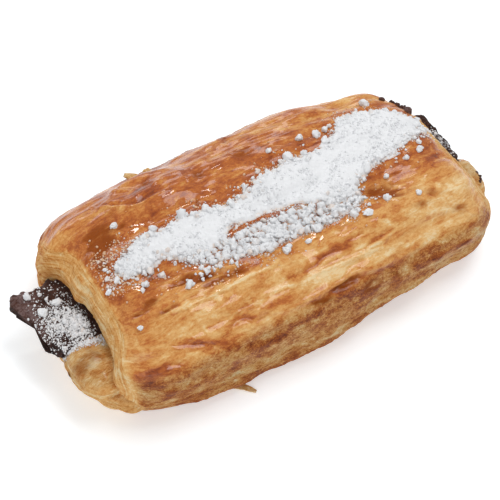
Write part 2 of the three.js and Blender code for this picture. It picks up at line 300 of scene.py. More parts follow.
CRUST_STOPS = [
    (0.0, srgb(247, 218, 168)),
    (0.2, srgb(236, 185, 116)),
    (0.4, srgb(218, 149, 77)),
    (0.56, srgb(196, 111, 47)),
    (0.76, srgb(162, 78, 31)),
    (1.0, srgb(112, 53, 27)),
]
AMBER = srgb(150, 72, 4)
CHOCOLATE_STOPS = [
    (0.0, srgb(46, 24, 18)),
    (0.45, srgb(98, 60, 47)),
    (1.0, srgb(164, 138, 136)),
]
SUGAR_WHITE = srgb(239, 240, 242)
SUGAR_SOAKED = srgb(228, 190, 154)


def baked_dough():
    finish = Finish(
        "baked_dough",
        {"Coat Roughness": 0.07, "Coat IOR": 1.45, "Specular IOR Level": 0.12},
    )
    bake = finish.field("bake")
    glaze = finish.field("glaze")
    amber = finish.field("amber")
    ends = finish.field("ends")
    crisp = finish.field("crisp")
    dust = finish.field("dust")
    blotches = finish.noise((0.2, 0.36, 0.4), detail=6.0, roughness=0.66, distortion=1.0)
    sheets = finish.noise((0.16, 0.8, 0.2), detail=5.0, roughness=0.62, distortion=1.2)
    lip_sheets = finish.noise((0.2, 0.09, 2.2), detail=5.0, roughness=0.65, distortion=0.4)
    specks = finish.noise((1.1, 1.5, 1.0), detail=6.0, roughness=0.75, distortion=0.5)
    pores = finish.noise((2.6, 3.2, 2.4), detail=4.0, roughness=0.7)
    leaves = sheets + ends * (lip_sheets - sheets)
    tone = bake + (blotches - 0.5) * 0.85 + (leaves - 0.5) * (0.4 + ends * 0.8)
    # The specks' pale and dark flecks, strongest on the crisp sides, are partly the crust's grain and partly painted
    # glints.
    tone = tone + (specks - 0.5) * (0.65 + crisp * 0.95) + (pores - 0.5) * crisp * 0.9
    crust = finish.ramp(tone.held(), CRUST_STOPS)
    pooled = (amber + (blotches - 0.5) * 1.6 * amber).held()
    powder = (dust + (pores - 0.5) * 2.6).rising(0.62, 0.8)
    glazed = finish.mix(pooled, crust, AMBER)
    colour = finish.mix(powder * 0.85, glazed, SUGAR_WHITE)
    roughness = 0.62 - glaze * 0.24 + (specks - 0.5) * 0.15 + powder * 0.3
    relief = leaves * (0.3 + ends * 0.9) + specks * (0.55 + crisp * 1.1) + pores * 0.9 * crisp + blotches * 0.6
    relief = relief + powder * 0.4
    coat = (glaze * (0.7 + (sheets - 0.5) * 1.7 + (specks - 0.5) * 0.6) - powder).held()
    return finish.finish_with(colour, roughness, relief, 0.7, coat)


def dark_chocolate():
    finish = Finish("dark_chocolate", {"Specular IOR Level": 0.35})
    broad = finish.noise((0.25, 0.25, 0.25), detail=4.0, roughness=0.6)
    fine = finish.noise((1.5, 1.5, 1.5), detail=5.0, roughness=0.7)
    bloom = finish.field("bloom")
    dust = finish.field("dust")
    tone = bloom * 0.7 + (broad - 0.5) * 0.8 + (fine - 0.5) * 1.3 + 0.2
    brown = finish.ramp(tone.held(), CHOCOLATE_STOPS)
    powder = (dust + (fine - 0.5) * 2.8).rising(0.52, 0.66)
    colour = finish.mix(powder * 0.92, brown, SUGAR_WHITE)
    return finish.finish_with(colour, 0.5 + powder * 0.4, fine * 1.2 + broad * 0.6 + powder * 0.6, 1.3)


def icing_sugar():
    finish = Finish("icing_sugar", {"Specular IOR Level": 0.25})
    soaked = finish.field("soaked")
    fine = finish.noise((3.1, 3.1, 3.1), detail=4.0, roughness=0.7)
    colour = finish.mix(soaked, SUGAR_WHITE, SUGAR_SOAKED)
    return finish.finish_with(colour, 0.75 + fine * 0.1, fine, 0.22)


def white_table():
    constants = {"Base Color": (0.75, 0.79, 0.82, 1), "Roughness": 0.6, "Emission Color": (1, 1, 1, 1)}
    return Finish("white_table", {**constants, "Emission Strength": 0.42}).material


# Noise and soft spots


def corner_value(i, j, k):
    """A repeatable number from 0 to 1 for each corner of the noise grid."""
    mask = 0xFFFFFFFF
    h = ((i * 374761393) & mask) ^ ((j * 668265263) & mask) ^ ((k * 2147483647) & mask)
    h = ((h ^ (h >> 13)) * 1274126177) & mask
    return (h ^ (h >> 16)) / 4294967295


def lumps(x, y, z):
    """Smooth noise from -1 to 1, one bump for each unit of x, y and z."""
    x, y, z = np.broadcast_arrays(*[np.asarray(v, float) for v in (x, y, z)])
    cells = [np.floor(v).astype(np.int64) for v in (x, y, z)]
    shares = [v - c for v, c in zip((x, y, z), cells)]
    shares = [s * s * (3 - 2 * s) for s in shares]
    total = 0
    for corner in range(8):
        steps = (corner & 1, (corner >> 1) & 1, corner >> 2)
        weight = 1
        for step, share in zip(steps, shares):
            weight = weight * (share if step else 1 - share)
        total = total + weight * corner_value(*[c + s for c, s in zip(cells, steps)])
    return 2 * total - 1


def layered(x, y, z, octaves=3, keep=0.5):
    """Noise with finer and finer bumps on it, turned a little at each step so that no grid shows."""
    total = 0
    reach = 1
    for octave in range(octaves):
        total = total + reach * lumps(x, y, z + 17.3 * octave)
        x, y = 1.6 * x + 1.2 * y + 5.1, 1.6 * y - 1.2 * x + 3.7
        z = 2 * z
        reach *= keep
    return total


def rise(value, low, high):
    """0 below low and 1 above high, smooth between them."""
    share = np.clip((value - low) / (high - low), 0, 1)
    return share * share * (3 - 2 * share)


def drawn_in(value, start, share):
    """The value, with only a share of what goes past a limit."""
    return value - (1 - share) * np.maximum(value - start, 0)


def knobs(x, y, size, radius, seed):
    """Round bumps from 0 to 1, one at a scattered point of each cell."""
    u = x / size
    w = y / size
    i = np.floor(u).astype(np.int64)
    j = np.floor(w).astype(np.int64)
    best = np.full(np.shape(u), 9.0)
    for di in (-1, 0, 1):
        for dj in (-1, 0, 1):
            px = i + di + 0.15 + 0.7 * corner_value(i + di, j + dj, np.int64(seed))
            py = j + dj + 0.15 + 0.7 * corner_value(i + di, j + dj, np.int64(seed + 1))
            big = 0.65 + 0.7 * corner_value(i + di, j + dj, np.int64(seed + 2))
            best = np.minimum(best, np.hypot(u - px, w - py) / big)
    return np.sqrt(np.clip(1 - (best / radius) ** 2, 0, 1))


def marks(x, v, places):
    """The strongest of the soft long spots at each place."""
    total = np.zeros(np.shape(x))
    for px, pv, length, width, tilt, strength in places:
        c = math.cos(math.radians(tilt))
        s = math.sin(math.radians(tilt))
        along = ((x - px) * c + (v - pv) * s) / length
        across = ((v - pv) * c - (x - px) * s) / width
        total = np.maximum(total, strength * np.exp(-((along**2 + across**2) ** 1.5)))
    return total


def beside(x, v, line):
    """The distance from each place to a line through a few places, and how far along the line it is."""
    nearest = np.full(np.shape(x), 1e6)
    share = np.zeros(np.shape(x))
    count = len(line) - 1
    for n in range(count):
        (ax, av), (bx, bv) = line[n], line[n + 1]
        length = (bx - ax) ** 2 + (bv - av) ** 2
        t = np.clip(((x - ax) * (bx - ax) + (v - av) * (bv - av)) / length, 0, 1)
        d = np.hypot(x - ax - t * (bx - ax), v - av - t * (bv - av))
        share = np.where(d < nearest, (n + t) / count, share)
        nearest = np.minimum(nearest, d)
    return nearest, share


def creases(x, v, lines, width):
    """Soft lines that thin out at their ends."""
    total = np.zeros(np.shape(x))
    for line in lines:
        distance, share = beside(x, v, line)
        thin = np.sqrt(np.clip(4 * share * (1 - share), 0.05, 1))
        total = np.maximum(total, thin * np.exp(-((distance / (width * thin)) ** 2)))
    return total


# Meshes


def make_piece(name, points, faces, material, fields):
    """A mesh in metres from points in millimetres, riding on the one body, with numbers kept on its points."""
    mesh = bpy.data.meshes.new(name)
    mesh.from_pydata((np.asarray(points) * MM).tolist(), [], faces)
    mesh.validate()
    for key, values in fields.items():
        kind = "FLOAT_VECTOR" if np.ndim(values) == 2 else "FLOAT"
        attribute = mesh.attributes.new(key, kind, "POINT")
        target = "vector" if kind == "FLOAT_VECTOR" else "value"
        attribute.data.foreach_set(target, np.asarray(values, np.float32).ravel())
    mesh.materials.append(material)
    mesh.shade_smooth()
    piece = bpy.data.objects.new(name, mesh)
    bpy.context.scene.collection.objects.link(piece)
    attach(piece, "root")
    return piece


def ring_faces(rings, sides):
    """Quads between rings of points, and a fan at each end to a middle point added last."""
    i, j = np.meshgrid(np.arange(rings - 1), np.arange(sides), indexing="ij")
    a = i * sides + j
    b = i * sides + (j + 1) % sides
    quads = np.stack([a, b, b + sides, a + sides], -1).reshape(-1, 4).tolist()
    first = rings * sides
    start = (rings - 1) * sides
    near = [[first, (k + 1) % sides, k] for k in range(sides)]
    far = [[first + 1, start + k, start + (k + 1) % sides] for k in range(sides)]
    return near + quads + far


def closed_rings(grid):
    """The points of a grid of rings, with the middles of its first and last ring."""
    return np.concatenate([grid.reshape(-1, 3), [grid[0].mean(0), grid[-1].mean(0)]])


def closed_field(values):
    ends = [values[0].mean(0), values[-1].mean(0)]
    return np.concatenate([values.reshape(-1, *values.shape[2:]), ends])


def outward(grid):
    """The normals of a grid of rings: the way round the ring crossed with the way along."""
    around = np.roll(grid, -1, 1) - np.roll(grid, 1, 1)
    along = np.gradient(grid, axis=0)
    normals = np.cross(around, along)
    return normals / np.maximum(np.linalg.norm(normals, axis=-1, keepdims=True), 1e-9)


# The outer wrap


def rounded(angle, power):
    c = np.cos(angle)
    s = np.sin(angle)
    return np.sign(c) * np.abs(c) ** (2 / power), np.sign(s) * np.abs(s) ** (2 / power)


def end_shift(x, y, z):
    """How far a place near an end is pushed along the roll."""
    near_lip = NEAR_LIP * (1 - rise(y, 16, 23)) * (1 - rise(-y, 20, 27))
    corners = NEAR_CORNER_BACK * rise(y, 12, 25) + NEAR_CORNER_FRONT * rise(-y, 16, 27)
    off_middle = np.abs(y - SLAB_Y)
    over_chocolate = 1 - rise(off_middle, SLAB_HALF_WIDTH - 3, SLAB_HALF_WIDTH + 9)
    far_corner = FAR_CORNER * rise(-y, 8, 17) * (1 - 0.6 * rise(z, 15, 28))
    far = far_corner * rise(x, 44, 59) + FAR_LIP * over_chocolate * rise(x, 52, 66)
    return far + (near_lip - corners) * rise(-x, 50, 66)


def wrap_base(x, share, angle):
    """The smooth wrap, for a station, the share of the section there, and an angle from the back."""
    s = x / WRAP_HALF_LENGTH
    half_width = WRAP_WIDTH / 2 * (1 - WIDTH_TAPER * s - WIDTH_BULGE * s * s)
    height = WRAP_HEIGHT * (1 - HEIGHT_TAPER * s - HEIGHT_BULGE * s * s)
    waist = WAIST_SHARE * height
    above = np.sin(angle) >= 0
    crown = rounded(angle, CROWN_POWER)
    base = rounded(angle, BASE_POWER)
    across = np.where(above, crown[0], base[0])
    up = np.where(above, crown[1], base[1])
    lift = END_LIFT * rise(1 - share, 0, 1 - END_SHARE)
    reach = np.where(above, (height - waist) * share, (waist + FLAT_CUT) * (1 - lift))
    y = across * half_width * share
    z = np.maximum(0, waist + up * reach)
    shifted = (x + end_shift(x, y, z), y + foot_tuck(x, y, z), z)
    return np.stack(np.broadcast_arrays(*shifted), -1)


def foot_tuck(x, y, z):
    """How far a place low on the front is drawn in."""
    towards_ends = NEAR_TUCK * rise(-x, 22, 58) + FAR_TUCK * rise(x, -4, 62)
    return towards_ends * (1 - rise(z, 3, 17)) * rise(-y, 4, 16)


def spot(p, x, y, along, across):
    return np.exp(-(((p[..., 0] - x) / along) ** 2) - ((p[..., 1] - y) / across) ** 2)


def wrap_relief(p):
    """The solid's own relief: swellings, hollows, a shoulder along the roll and a wrinkle."""
    x, y, z = p[..., 0], p[..., 1], p[..., 2]
    swell = 1.1 * lumps(x / 19 + 5, y / 10, z / 12) + 0.7 * lumps(x / 11, y / 5 + 9, z / 6)
    blister = 1.2 * rise(spot(p, -31, 22, 17, 10), 0.3, 0.6)
    near_hollow = -1.6 * spot(p, -53, 12, 6, 9) - 0.9 * spot(p, -52, 33, 9, 8)
    far_hollow = -1.9 * spot(p, 32, -13, 12, 4.5)
    back = 1.9 * spot(p, 28, 36, 16, 9) - 1.1 * spot(p, -17, 36, 9, 8)
    shoulder = 1.2 * spot(p, 10, -25, 45, 4)
    wrinkle = -1.5 * spot(p, -30, -31, 10, 1.6)
    foot_seam = np.where(y < 0, -0.8 * np.exp(-(((z - 8.5) / 1.8) ** 2)), 0)
    grip = rise(z, 0, 6)
    hollows = near_hollow + far_hollow + wrinkle + foot_seam
    return grip * (swell + blister + back + shoulder + hollows)


def girth_table():
    """Angles round the middle section and the way round from the crown to each."""
    angles = np.radians(np.linspace(-90, 270, 2881))
    points = wrap_base(np.zeros_like(angles), 1.0, angles)
    steps = np.linalg.norm(np.diff(points, axis=0), axis=1)
    length = np.concatenate([[0], np.cumsum(steps)])
    return angles, length - np.interp(np.radians(90), angles, length)


def end_profile():
    """One end from the straight part to the lip: the way along and the share of the section, evenly spaced."""
    turn = np.linspace(0, math.pi / 2, 400)
    along = END_LENGTH * np.sin(turn) ** (2 / END_ALONG)
    share = END_SHARE + (1 - END_SHARE) * np.cos(turn) ** (2 / END_ACROSS)
    drop = (WRAP_HEIGHT * (1 - HEIGHT_BULGE) * (1 - WAIST_SHARE)) * share
    length = np.concatenate([[0], np.cumsum(np.hypot(np.diff(along), np.diff(drop)))])
    even = np.arange(CRUST_STEP, length[-1], CRUST_STEP)
    even = np.append(even, length[-1])
    return np.interp(even, length, along), np.interp(even, length, share), length[-1] - even


def wrap_stations():
    """Stations from the near mouth over the lip to the far mouth: x, share and the distance from the lip."""
    straight = WRAP_HALF_LENGTH - END_LENGTH
    along, share, to_lip = end_profile()
    depths = np.array([0.25, 0.7, 1.3, 2.1, 3.2, 4.8, 7.0])
    mouth_x = straight + END_LENGTH - depths
    mouth_share = END_SHARE - 0.035 * np.sqrt(np.minimum(depths / 1.3, 1)) - 0.01 * depths
    middle = np.arange(-straight, straight + 0.01, CRUST_STEP)
    end_x = straight + along
    x = np.concatenate([-mouth_x[::-1], -end_x[::-1], middle, end_x, mouth_x])
    shares = np.concatenate([mouth_share[::-1], share[::-1], np.ones(len(middle)), share, mouth_share])
    far_from_lip = np.full(len(middle), float(TEXTURE_LIP))
    lip = np.concatenate([-depths[::-1], to_lip[::-1], far_from_lip, to_lip, -depths])
    return x, shares, np.minimum(lip, TEXTURE_LIP)


def wrap_columns():
    """The way round each column of points, close together on the sides and far apart below."""
    sides = np.arange(-SIDE_GIRTH, SIDE_GIRTH, CRUST_STEP)
    bottom = girth_lengths[-1]
    front_below = np.arange(SIDE_GIRTH, bottom, UNDERSIDE_STEP)
    back_below = np.arange(girth_lengths[0], -SIDE_GIRTH, UNDERSIDE_STEP)
    return np.concatenate([back_below, sides, front_below])


girth_angles, girth_lengths = girth_table()

# What shows on the crust, each list read off the photograph once.

AMBER_POOLS = [
    (-52.5, -14.5, 7, 4.6, 0, 1.15), (-57, -8, 2.6, 6, 0, 0.85), (-45.5, -13.5, 2, 2, 0, 0.5), (-54, 18.4, 4, 1, 4, 0.8),
    (-50.5, 17, 2.2, 1.8, 0, 0.8), (-39, 14.6, 3.8, 1.4, 10, 1), (-32.5, 17.4, 5, 1.5, 17, 1),
    (-27, 20.6, 7, 1.2, 10, 0.9), (-46, 21.2, 3.5, 0.9, 0, 0.7), (34, 15.8, 5.6, 3.4, 10, 1.15),
    (30, 13.4, 2.2, 1.2, 20, 0.7), (37.5, 19.5, 3.6, 1.3, 30, 0.5), (39.5, 17, 3, 1.3, 15, 0.5),
    (47.5, 23.5, 4, 1.3, 20, 0.35), (43, 20.3, 2, 0.9, 15, 0.3), (42, 27.3, 5, 1.5, 5, 0.35),
    (-19, -8, 1.2, 2.6, 0, 0.8), (-29, -24.5, 2, 3, 20, 0.5), (-15, -19, 2, 2.6, 20, 0.5), (2, -20, 4.5, 3, 0, 0.55),
    (1, -30, 1, 3.5, 20, 0.6), (8, 39, 4.5, 1.1, 4, 0.9), (-3, 40.3, 5, 1.1, 0, 0.7), (15, 43, 5, 2.4, 30, 0.5),
    (31, -26, 3, 2, 0, 0.3), (-44, -20, 2.5, 4, -30, 0.3), (24, 44, 4, 1.2, 35, 0.4), (52, 33.5, 5.5, 1.7, 25, 0.4),
]
BROWN_MARKS = [
    (-1, 28.7, 9, 1.8, 0, 1), (12, 27.2, 6, 1.4, -8, 0.85), (18, 26.3, 3.5, 0.8, 0, 0.6), (25, 30.3, 5.5, 0.9, -4, 0.9),
    (-46.5, 33.6, 5, 1.7, 25, 0.8), (-38, 37.6, 6, 1.5, 35, 0.85), (-57, 38, 4.5, 1.6, -8, 0.9),
    (-30, 43, 5, 0.8, 4, 0.6), (-15, 47, 9, 2.4, 12, 0.7), (-50, 46, 5, 1.8, 20, 0.7), (-58, 48, 4, 3, 40, 0.6),
    (5, 44, 9, 4.6, 0, 0.75), (15, 47.5, 8, 3.6, 0, 0.9), (12, 54, 4.5, 2, 0, 0.8), (36, 46, 9, 2.6, 0, 0.65),
    (44, 37, 6, 3.4, -10, 0.5), (47, 33.6, 5, 1.8, 25, 0.5), (56, 11.5, 3, 2.6, 0, 1), (52.5, 13.5, 4.5, 3.2, 0, 0.5),
    (-47, 8.7, 5, 1.3, 10, 0.7), (-55, 6, 3, 3, 0, 0.35), (-35, 50, 16, 1.6, 3, 0.4), (30, 51, 18, 2.2, -2, 0.35),
    (-27, 34.6, 5, 1.1, 15, 0.5), (8, 36.9, 2, 0.7, 20, 0.5), (-6, 37.2, 1.6, 1.2, 40, 0.6), (1, -33, 1.6, 4, 15, 0.5),
    (33, -30, 3, 5, 10, 0.3), (20, -17, 2.4, 1.6, 0, 0.6), (25, -12.5, 3, 1.6, 0, 0.6), (-8, 9.5, 9, 1.2, 0, 0.3),
    (43.5, 10.8, 3.2, 1.3, 20, 0.25), (42.5, 13.3, 3.4, 1.3, 15, 0.25), (-24, 13.5, 8, 1.2, 14, 0.3),
]
# Paler crust. The cream patches on the front shoulder, at v 30 to 37, are partly painted highlights.
PALE_MARKS = [
    (-44, 22.6, 8, 0.9, 3, 0.8), (-56, 19.8, 4, 0.8, 8, 0.7), (-30, 23.8, 7, 0.8, 6, 0.8), (-19, 24, 8, 0.9, -4, 0.9),
    (-9, 22.4, 5, 0.8, -6, 0.5), (-31, 25.6, 3, 1.4, 0, 0.7), (-39, 27, 2, 2, 0, 0.6), (-40, 31.5, 1.4, 2.6, 0, 0.5),
    (-12, 31.4, 9, 0.9, 2, 0.8), (0, 34, 11, 2.3, 3, 1), (15, 33.4, 9, 1.6, 5, 0.8), (21, 36, 7, 1.6, 0, 0.9),
    (32, 37.4, 3.4, 0.9, 0, 0.9), (21, 31.6, 6, 0.7, -4, 0.9), (17, 30.2, 3, 0.8, 0, 0.8), (-46, 38.6, 6, 1.2, 30, 0.5),
    (-44, 44.5, 7, 2.2, 30, 0.6), (-32, 46.5, 5, 1.6, 30, 0.5), (-8, 42.3, 5, 0.8, 0, 0.45), (-22, 41.6, 8, 0.9, 3, 0.45),
    (45, -33, 5, 3, 0, 0.7), (-58, -27, 4, 4, 0, 0.6), (-53, -25, 6, 3, 0, 0.35), (51, 22.5, 2.4, 1.2, 30, 0.6),
    (-45.5, 17.6, 2.4, 1.2, 0, 0.8), (-44, 13, 4, 1, -6, 0.4), (28, 26.7, 2.4, 0.9, 15, 0.8), (56, 27, 4, 4, 30, 0.5),
    (46, 41, 6, 1, 5, 0.5), (42, 49.5, 6, 1, 0, 0.5), (-30, -13, 4, 1.6, 0, 0.4), (-20, -13, 3, 1.4, 20, 0.35),
]
# Raised lines are ridges in the relief. The crust is painted paler along them, partly as a painted highlight on the
# ridge.
RAISED_LINES = [
    [(-48, -30), (-45.5, -24), (-41, -19.3), (-35, -16.8), (-27, -16.6), (-19, -17.8)],
    [(-40, -31), (-37, -27), (-33, -24.5), (-27, -25.5)],
    [(-29, -21), (-25, -22.2)],
    [(-19, -17.3), (-15, -19.8)],
    [(-54, 19.6), (-46, 22.8), (-36, 23), (-26, 24.4), (-16, 24), (-8, 21.8)],
    [(-49, 15), (-45, 13), (-40, 12.2), (-33, 14.6), (-24, 18.4), (-17, 20.3)],
    [(-14, 31), (-4, 32.4), (8, 32.6), (20, 33.4), (30, 36), (34, 37.5)],
    [(18, 31.2), (24, 32.2), (29, 31)],
    [(-33, 33), (-29, 31.6), (-24, 32.8), (-19, 35)],
    [(-20, 36.6), (-10, 38), (2, 37.4), (12, 37.2), (20, 39), (30, 39.2)],
    [(40, 29), (47, 31.4), (54, 36), (58, 41)],
    [(22, 14.5), (28, 17.6), (34, 19.6), (40, 23)],
]
# Sunk lines are creases in the relief. The crust is painted darker along them, partly as painted shade in the crease.
SUNK_LINES = [
    [(-33, 34.6), (-30, 33.8), (-26.5, 34), (-24, 36), (-21, 36.4), (-19, 35.8)],
    [(-10, 28.4), (-2, 29.2), (6, 28.8), (12, 27.4), (20, 26.2)],
    [(19, 30.6), (25, 30.6), (30, 29.4)],
    [(-44, 15.8), (-38, 14.6), (-30, 17.6), (-22, 20.8), (-14, 21.6)],
    [(-51, 31.8), (-46, 33.6), (-41, 36.6), (-36, 40)],
    [(-10, 39.6), (0, 39.2), (9, 38.6), (18, 40.6), (28, 41)],
    [(46, 24), (50, 26.6), (54, 30)],
    [(-60, 37.6), (-54, 37), (-50, 38.6)],
    [(-46, -27), (-42, -21.5), (-36, -18.6), (-28, -18.2)],
]


def crust_fields(x, v, share, lip):
    """What the oven and the brush left on the crust, for each place: relief in millimetres and colour fields, with
    painted shade in creases and painted highlights on ridges and the shoulder.
    """
    mottle = layered(x / 4.2, v / 2.3, 47, 4, 0.6)
    wander_x = x + 2.0 * layered(x / 6, v / 3.5, 41, 3)
    wander_v = v + 0.9 * layered(x / 6 + 9, v / 2.6, 43, 3)
    patchy = 1 + 0.7 * mottle
    amber = rise(marks(wander_x, wander_v, AMBER_POOLS) * patchy, 0.05, 0.85)
    brown = rise(marks(wander_x, wander_v, BROWN_MARKS) * patchy, 0.1, 1.1)
    pale = rise(marks(wander_x, wander_v, PALE_MARKS) * patchy, 0.15, 0.9)
    raised = creases(x + 0.5 * lumps(x / 2, v / 2, 3), wander_v, RAISED_LINES, 0.75)
    sunk = creases(x + 0.5 * lumps(x / 2, v / 2, 4), wander_v, SUNK_LINES, 0.9)

    past_crease = rise(0.9 - share, 0, 0.07)
    sides = rise(np.abs(v), 37, 43)
    upper = (1 - sides) * (1 - past_crease)
    smooth = layered(x / 7, v / 3.4, 47, 2, 0.4)
    folds = layered(x / 15, v / 4.2, 51, 2, 0.45)
    leaf = layered((x + 0.25 * v) / 6, v / 1.7, 53, 3, 0.6)
    lip_leaf = layered(v / 9, lip / 1.1, 55, 3, 0.6)
    leaf = leaf + past_crease * (lip_leaf - leaf)
    grain = layered(x / 1.3, v / 1.1, 57, 3, 0.6)
    crisp = sides * (1 - past_crease)

    relief = 0.5 * folds * (1 - past_crease) + (0.1 + 0.1 * sides + 0.2 * past_crease) * leaf
    relief = relief + 0.24 * smooth * (1 - past_crease) + 0.2 * mottle * crisp
    relief = relief + 0.6 * raised - 0.75 * sunk - 0.35 * amber + 0.2 * pale * (1 - sides)
    relief = relief + grain * (0.015 + 0.13 * crisp + 0.05 * past_crease)

    # The tone is paler over the front shoulder, about v 20 to 41: partly paler crust and partly a painted highlight.
    level = [-96, -58, -53, -47, -40, -30, -18, 0, 12, 20, 25, 31, 37, 41, 47, 51, 54, 58, 96]
    tone = [0.62, 0.42, 0.3, 0.54, 0.56, 0.57, 0.63, 0.6, 0.56, 0.47, 0.32, 0.34, 0.38, 0.46, 0.5, 0.42, 0.24, 0.4, 0.62]
    bake = np.interp(v + 1.6 * mottle, level, tone)
    bake = bake - 0.13 * rise(x, 26, 46) * rise(v, 36, 43) * (1 - rise(v, 49, 53)) + 0.07 * rise(v, 51, 54)
    bake = bake - 0.12 * rise(x, 0, 25) * rise(-v, 14, 24)
    bake = bake - 0.1 * rise(x, 28, 44) * rise(v, 12, 20) * (1 - sides)
    bake = bake + 0.07 * folds + 0.11 * mottle * (1 + 1.1 * sides) - 0.05 * sides * leaf + 0.03 * grain * (1 + 2 * sides)
    # Brown marks darken and pale marks lighten the crust. The darker crust along sunk lines is partly painted shade in
    # the creases, and the paler crust on raised lines is partly a painted highlight on the ridges.
    bake = bake + 0.17 * brown - 0.26 * pale + 0.14 * sunk - 0.1 * raised
    cut = 0.2 + 0.1 * rise(-v, 2, 16) + 0.1 * lip_leaf
    bake = bake + past_crease * (cut - bake) * (0.85 + 0.15 * rise(lip, 1, 4))
    off_bed = -np.maximum(inside_band(x, v, BED_BACK, BED_FRONT), inside_band(x, v, FIELD_BACK, FIELD_FRONT))
    dust = 0.72 * np.exp(-np.maximum(off_bed, 0) / 1.5)
    dust = np.maximum(dust, 0.36 * rise(-x, 48, 53) * (1 - rise(-x, 58, 62)) * rise(13 - np.abs(v + 1), 0, 6))
    glaze = upper * (1 - 0.3 * pale) + 0.35 * sides * (1 - past_crease) * (1 - rise(np.abs(v), 48, 54))
    glaze = np.clip(glaze - 0.45 * amber, 0, 1)
    return relief, {
        "bake": np.clip(bake, 0, 1),
        "glaze": glaze,
        "amber": amber * (1 - past_crease),
        "ends": past_crease,
        "crisp": crisp,
        "dust": dust,
    }


def make_wrap():
    """The wrap as a grid of rings. It returns the grid too, for what lies on the crust."""
    x, share, lip = wrap_stations()
    v = wrap_columns()
    angles = np.interp(v, girth_lengths, girth_angles)
    base = wrap_base(x[:, None], share[:, None], angles[None, :])
    swollen = base + outward(base) * wrap_relief(base)[..., None]
    swollen[..., 2] = np.where(base[..., 2] <= 0, 0, np.maximum(swollen[..., 2], 0.3))
    ones = np.ones(base.shape[:2])
    relief, fields = crust_fields(x[:, None] * ones, v * ones, share[:, None] * ones, lip[:, None] * ones)
    grip = rise(base[..., 2], 0.5, 5) * rise(lip[:, None], -3, 0.5)
    crust = swollen + outward(swollen) * (relief * grip)[..., None]
    crust[..., 2] = np.where(base[..., 2] <= 0, 0, np.maximum(crust[..., 2], 0.2))
    crust[..., 1] = np.sign(crust[..., 1]) * drawn_in(np.abs(crust[..., 1]), 39.6, 0.5)
    fields["place"] = np.stack([x[:, None] * ones, v * ones, lip[:, None] * ones], -1)
    piece = make_piece(
        "dough_wrap",
        closed_rings(crust),
        ring_faces(*crust.shape[:2]),
        dough,
        {key: closed_field(values) for key, values in fields.items()},
    )
    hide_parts("pastry")
    return {"x": x, "v": v, "crust": crust, "normals": outward(crust)}


def on_crust(wrap, x, v):
    """Points and normals of the finished crust at places given by x and v."""
    outer = slice(7, -7)
    row = np.interp(x, wrap["x"][outer], np.arange(len(wrap["x"]))[outer])
    column = np.interp(v, wrap["v"], np.arange(len(wrap["v"])))
    i = np.floor(row).astype(int)
    j = np.floor(column).astype(int)
    fi = (row - i)[..., None]
    fj = (column - j)[..., None]
    found = []
    for grid in (wrap["crust"], wrap["normals"]):
        near = grid[i, j] * (1 - fj) + grid[i, j + 1] * fj
        far = grid[i + 1, j] * (1 - fj) + grid[i + 1, j + 1] * fj
        found.append(near * (1 - fi) + far * fi)
    return found


# The inner fold and the dough under the chocolate


def roll_fields(p, top):
    """Relief and colour of the inner dough: golden on top, pale in strata below and at its cut edge."""
    x, y, z = p[..., 0], p[..., 1], p[..., 2]
    leaf = layered((x + y) / 9, z / 1.3, 61, 3, 0.6)
    swell = 0.7 * lumps(x / 5, y / 4, z / 5) + 0.25 * layered(x / 2.4, y / 2, z / 2, 2)
    shown = rise(z, top - 5, top - 1.5)
    relief = swell + 0.4 * leaf * (1 - shown)
    tan = 0.25 + 0.22 * layered(x / 4, y / 3, 65, 4, 0.6)
    bake = tan * shown + (1 - shown) * (0.2 + 0.14 * leaf)
    glaze = 0.5 * shown
    border = np.exp(-(((y - FOLD_DUST_Y + 0.12 * (x + 72)) / 1.6) ** 2)) * rise(-x, 62, 66)
    return relief, {
        "bake": np.clip(bake, 0, 1),
        "glaze": glaze,
        "amber": 0.5 * shown * rise(layered(x / 5 + 3, y / 4, 67, 3), 0.2, 0.8),
        "ends": 1 - shown,
        "crisp": 0.5 * shown,
        "dust": 0.9 * border * rise(z, top - 7, top - 5),
    }


def make_roll(name, end, middle_y, half_width, top, bottom, round_end, slant):
    """A flattened roll that comes out of the wrap with a round end and goes on a little way inside it."""
    turns = np.linspace(0, math.pi / 2, 46)
    inset = round_end * (1 - np.cos(turns) ** 0.8)
    share = np.maximum(0.12, np.sin(turns)) ** 0.55
    run = np.arange(round_end + 0.6, ROLL_DEPTH, 0.6)
    inward = np.concatenate([inset, run])
    shares = np.concatenate([share, np.ones(len(run))])[:, None]
    x = end - math.copysign(1, end) * inward[:, None]
    if end > 0:
        x, shares = x[::-1], shares[::-1]
    angles = np.linspace(0, 2 * math.pi, 150, endpoint=False)[None, :]
    across, up = rounded(angles, 2.7)
    y = middle_y + across * half_width * shares
    z = (top + bottom) / 2 + up * (top - bottom) / 2 * shares
    x = x + slant * np.maximum(0, SLANT_START - y)
    base = np.stack(np.broadcast_arrays(x, y, z), -1)
    relief, fields = roll_fields(base, top)
    body = base + outward(base) * relief[..., None]
    body[..., 2] = np.maximum(body[..., 2], 0.2)
    body[..., 0] = drawn_in(body[..., 0], 74.2, 0.45)
    fields["place"] = np.stack([base[..., 0], base[..., 1] * 2, base[..., 2]], -1)
    points = closed_rings(body)
    faces = ring_faces(*body.shape[:2])
    fields = {key: closed_field(values) for key, values in fields.items()}
    make_piece(name, points, faces, dough, fields)
    return BVHTree.FromPolygons(points.tolist(), faces)


def let_down(trees, x, y):
    """The places where points above the ends come to rest on the inner pieces, and which of them do."""
    heights = np.full(len(x), -1.0)
    for n, (px, py) in enumerate(zip(x, y)):
        for tree in trees:
            hit = tree.ray_cast(Vector((px, py, 40)), Vector((0, 0, -1)))[0]
            if hit is not None:
                heights[n] = max(heights[n], hit.z)
    found = heights > 12
    return np.stack([x, y, heights], -1)[found], found


# The chocolate


def slab_stations():
    near = np.arange(SLAB_NEAR, -60, 0.35)
    inside = np.linspace(-60, 62, 12)[:-1]
    far = np.append(np.arange(62, SLAB_FAR, 0.35), SLAB_FAR)
    return np.concatenate([near, inside, far])


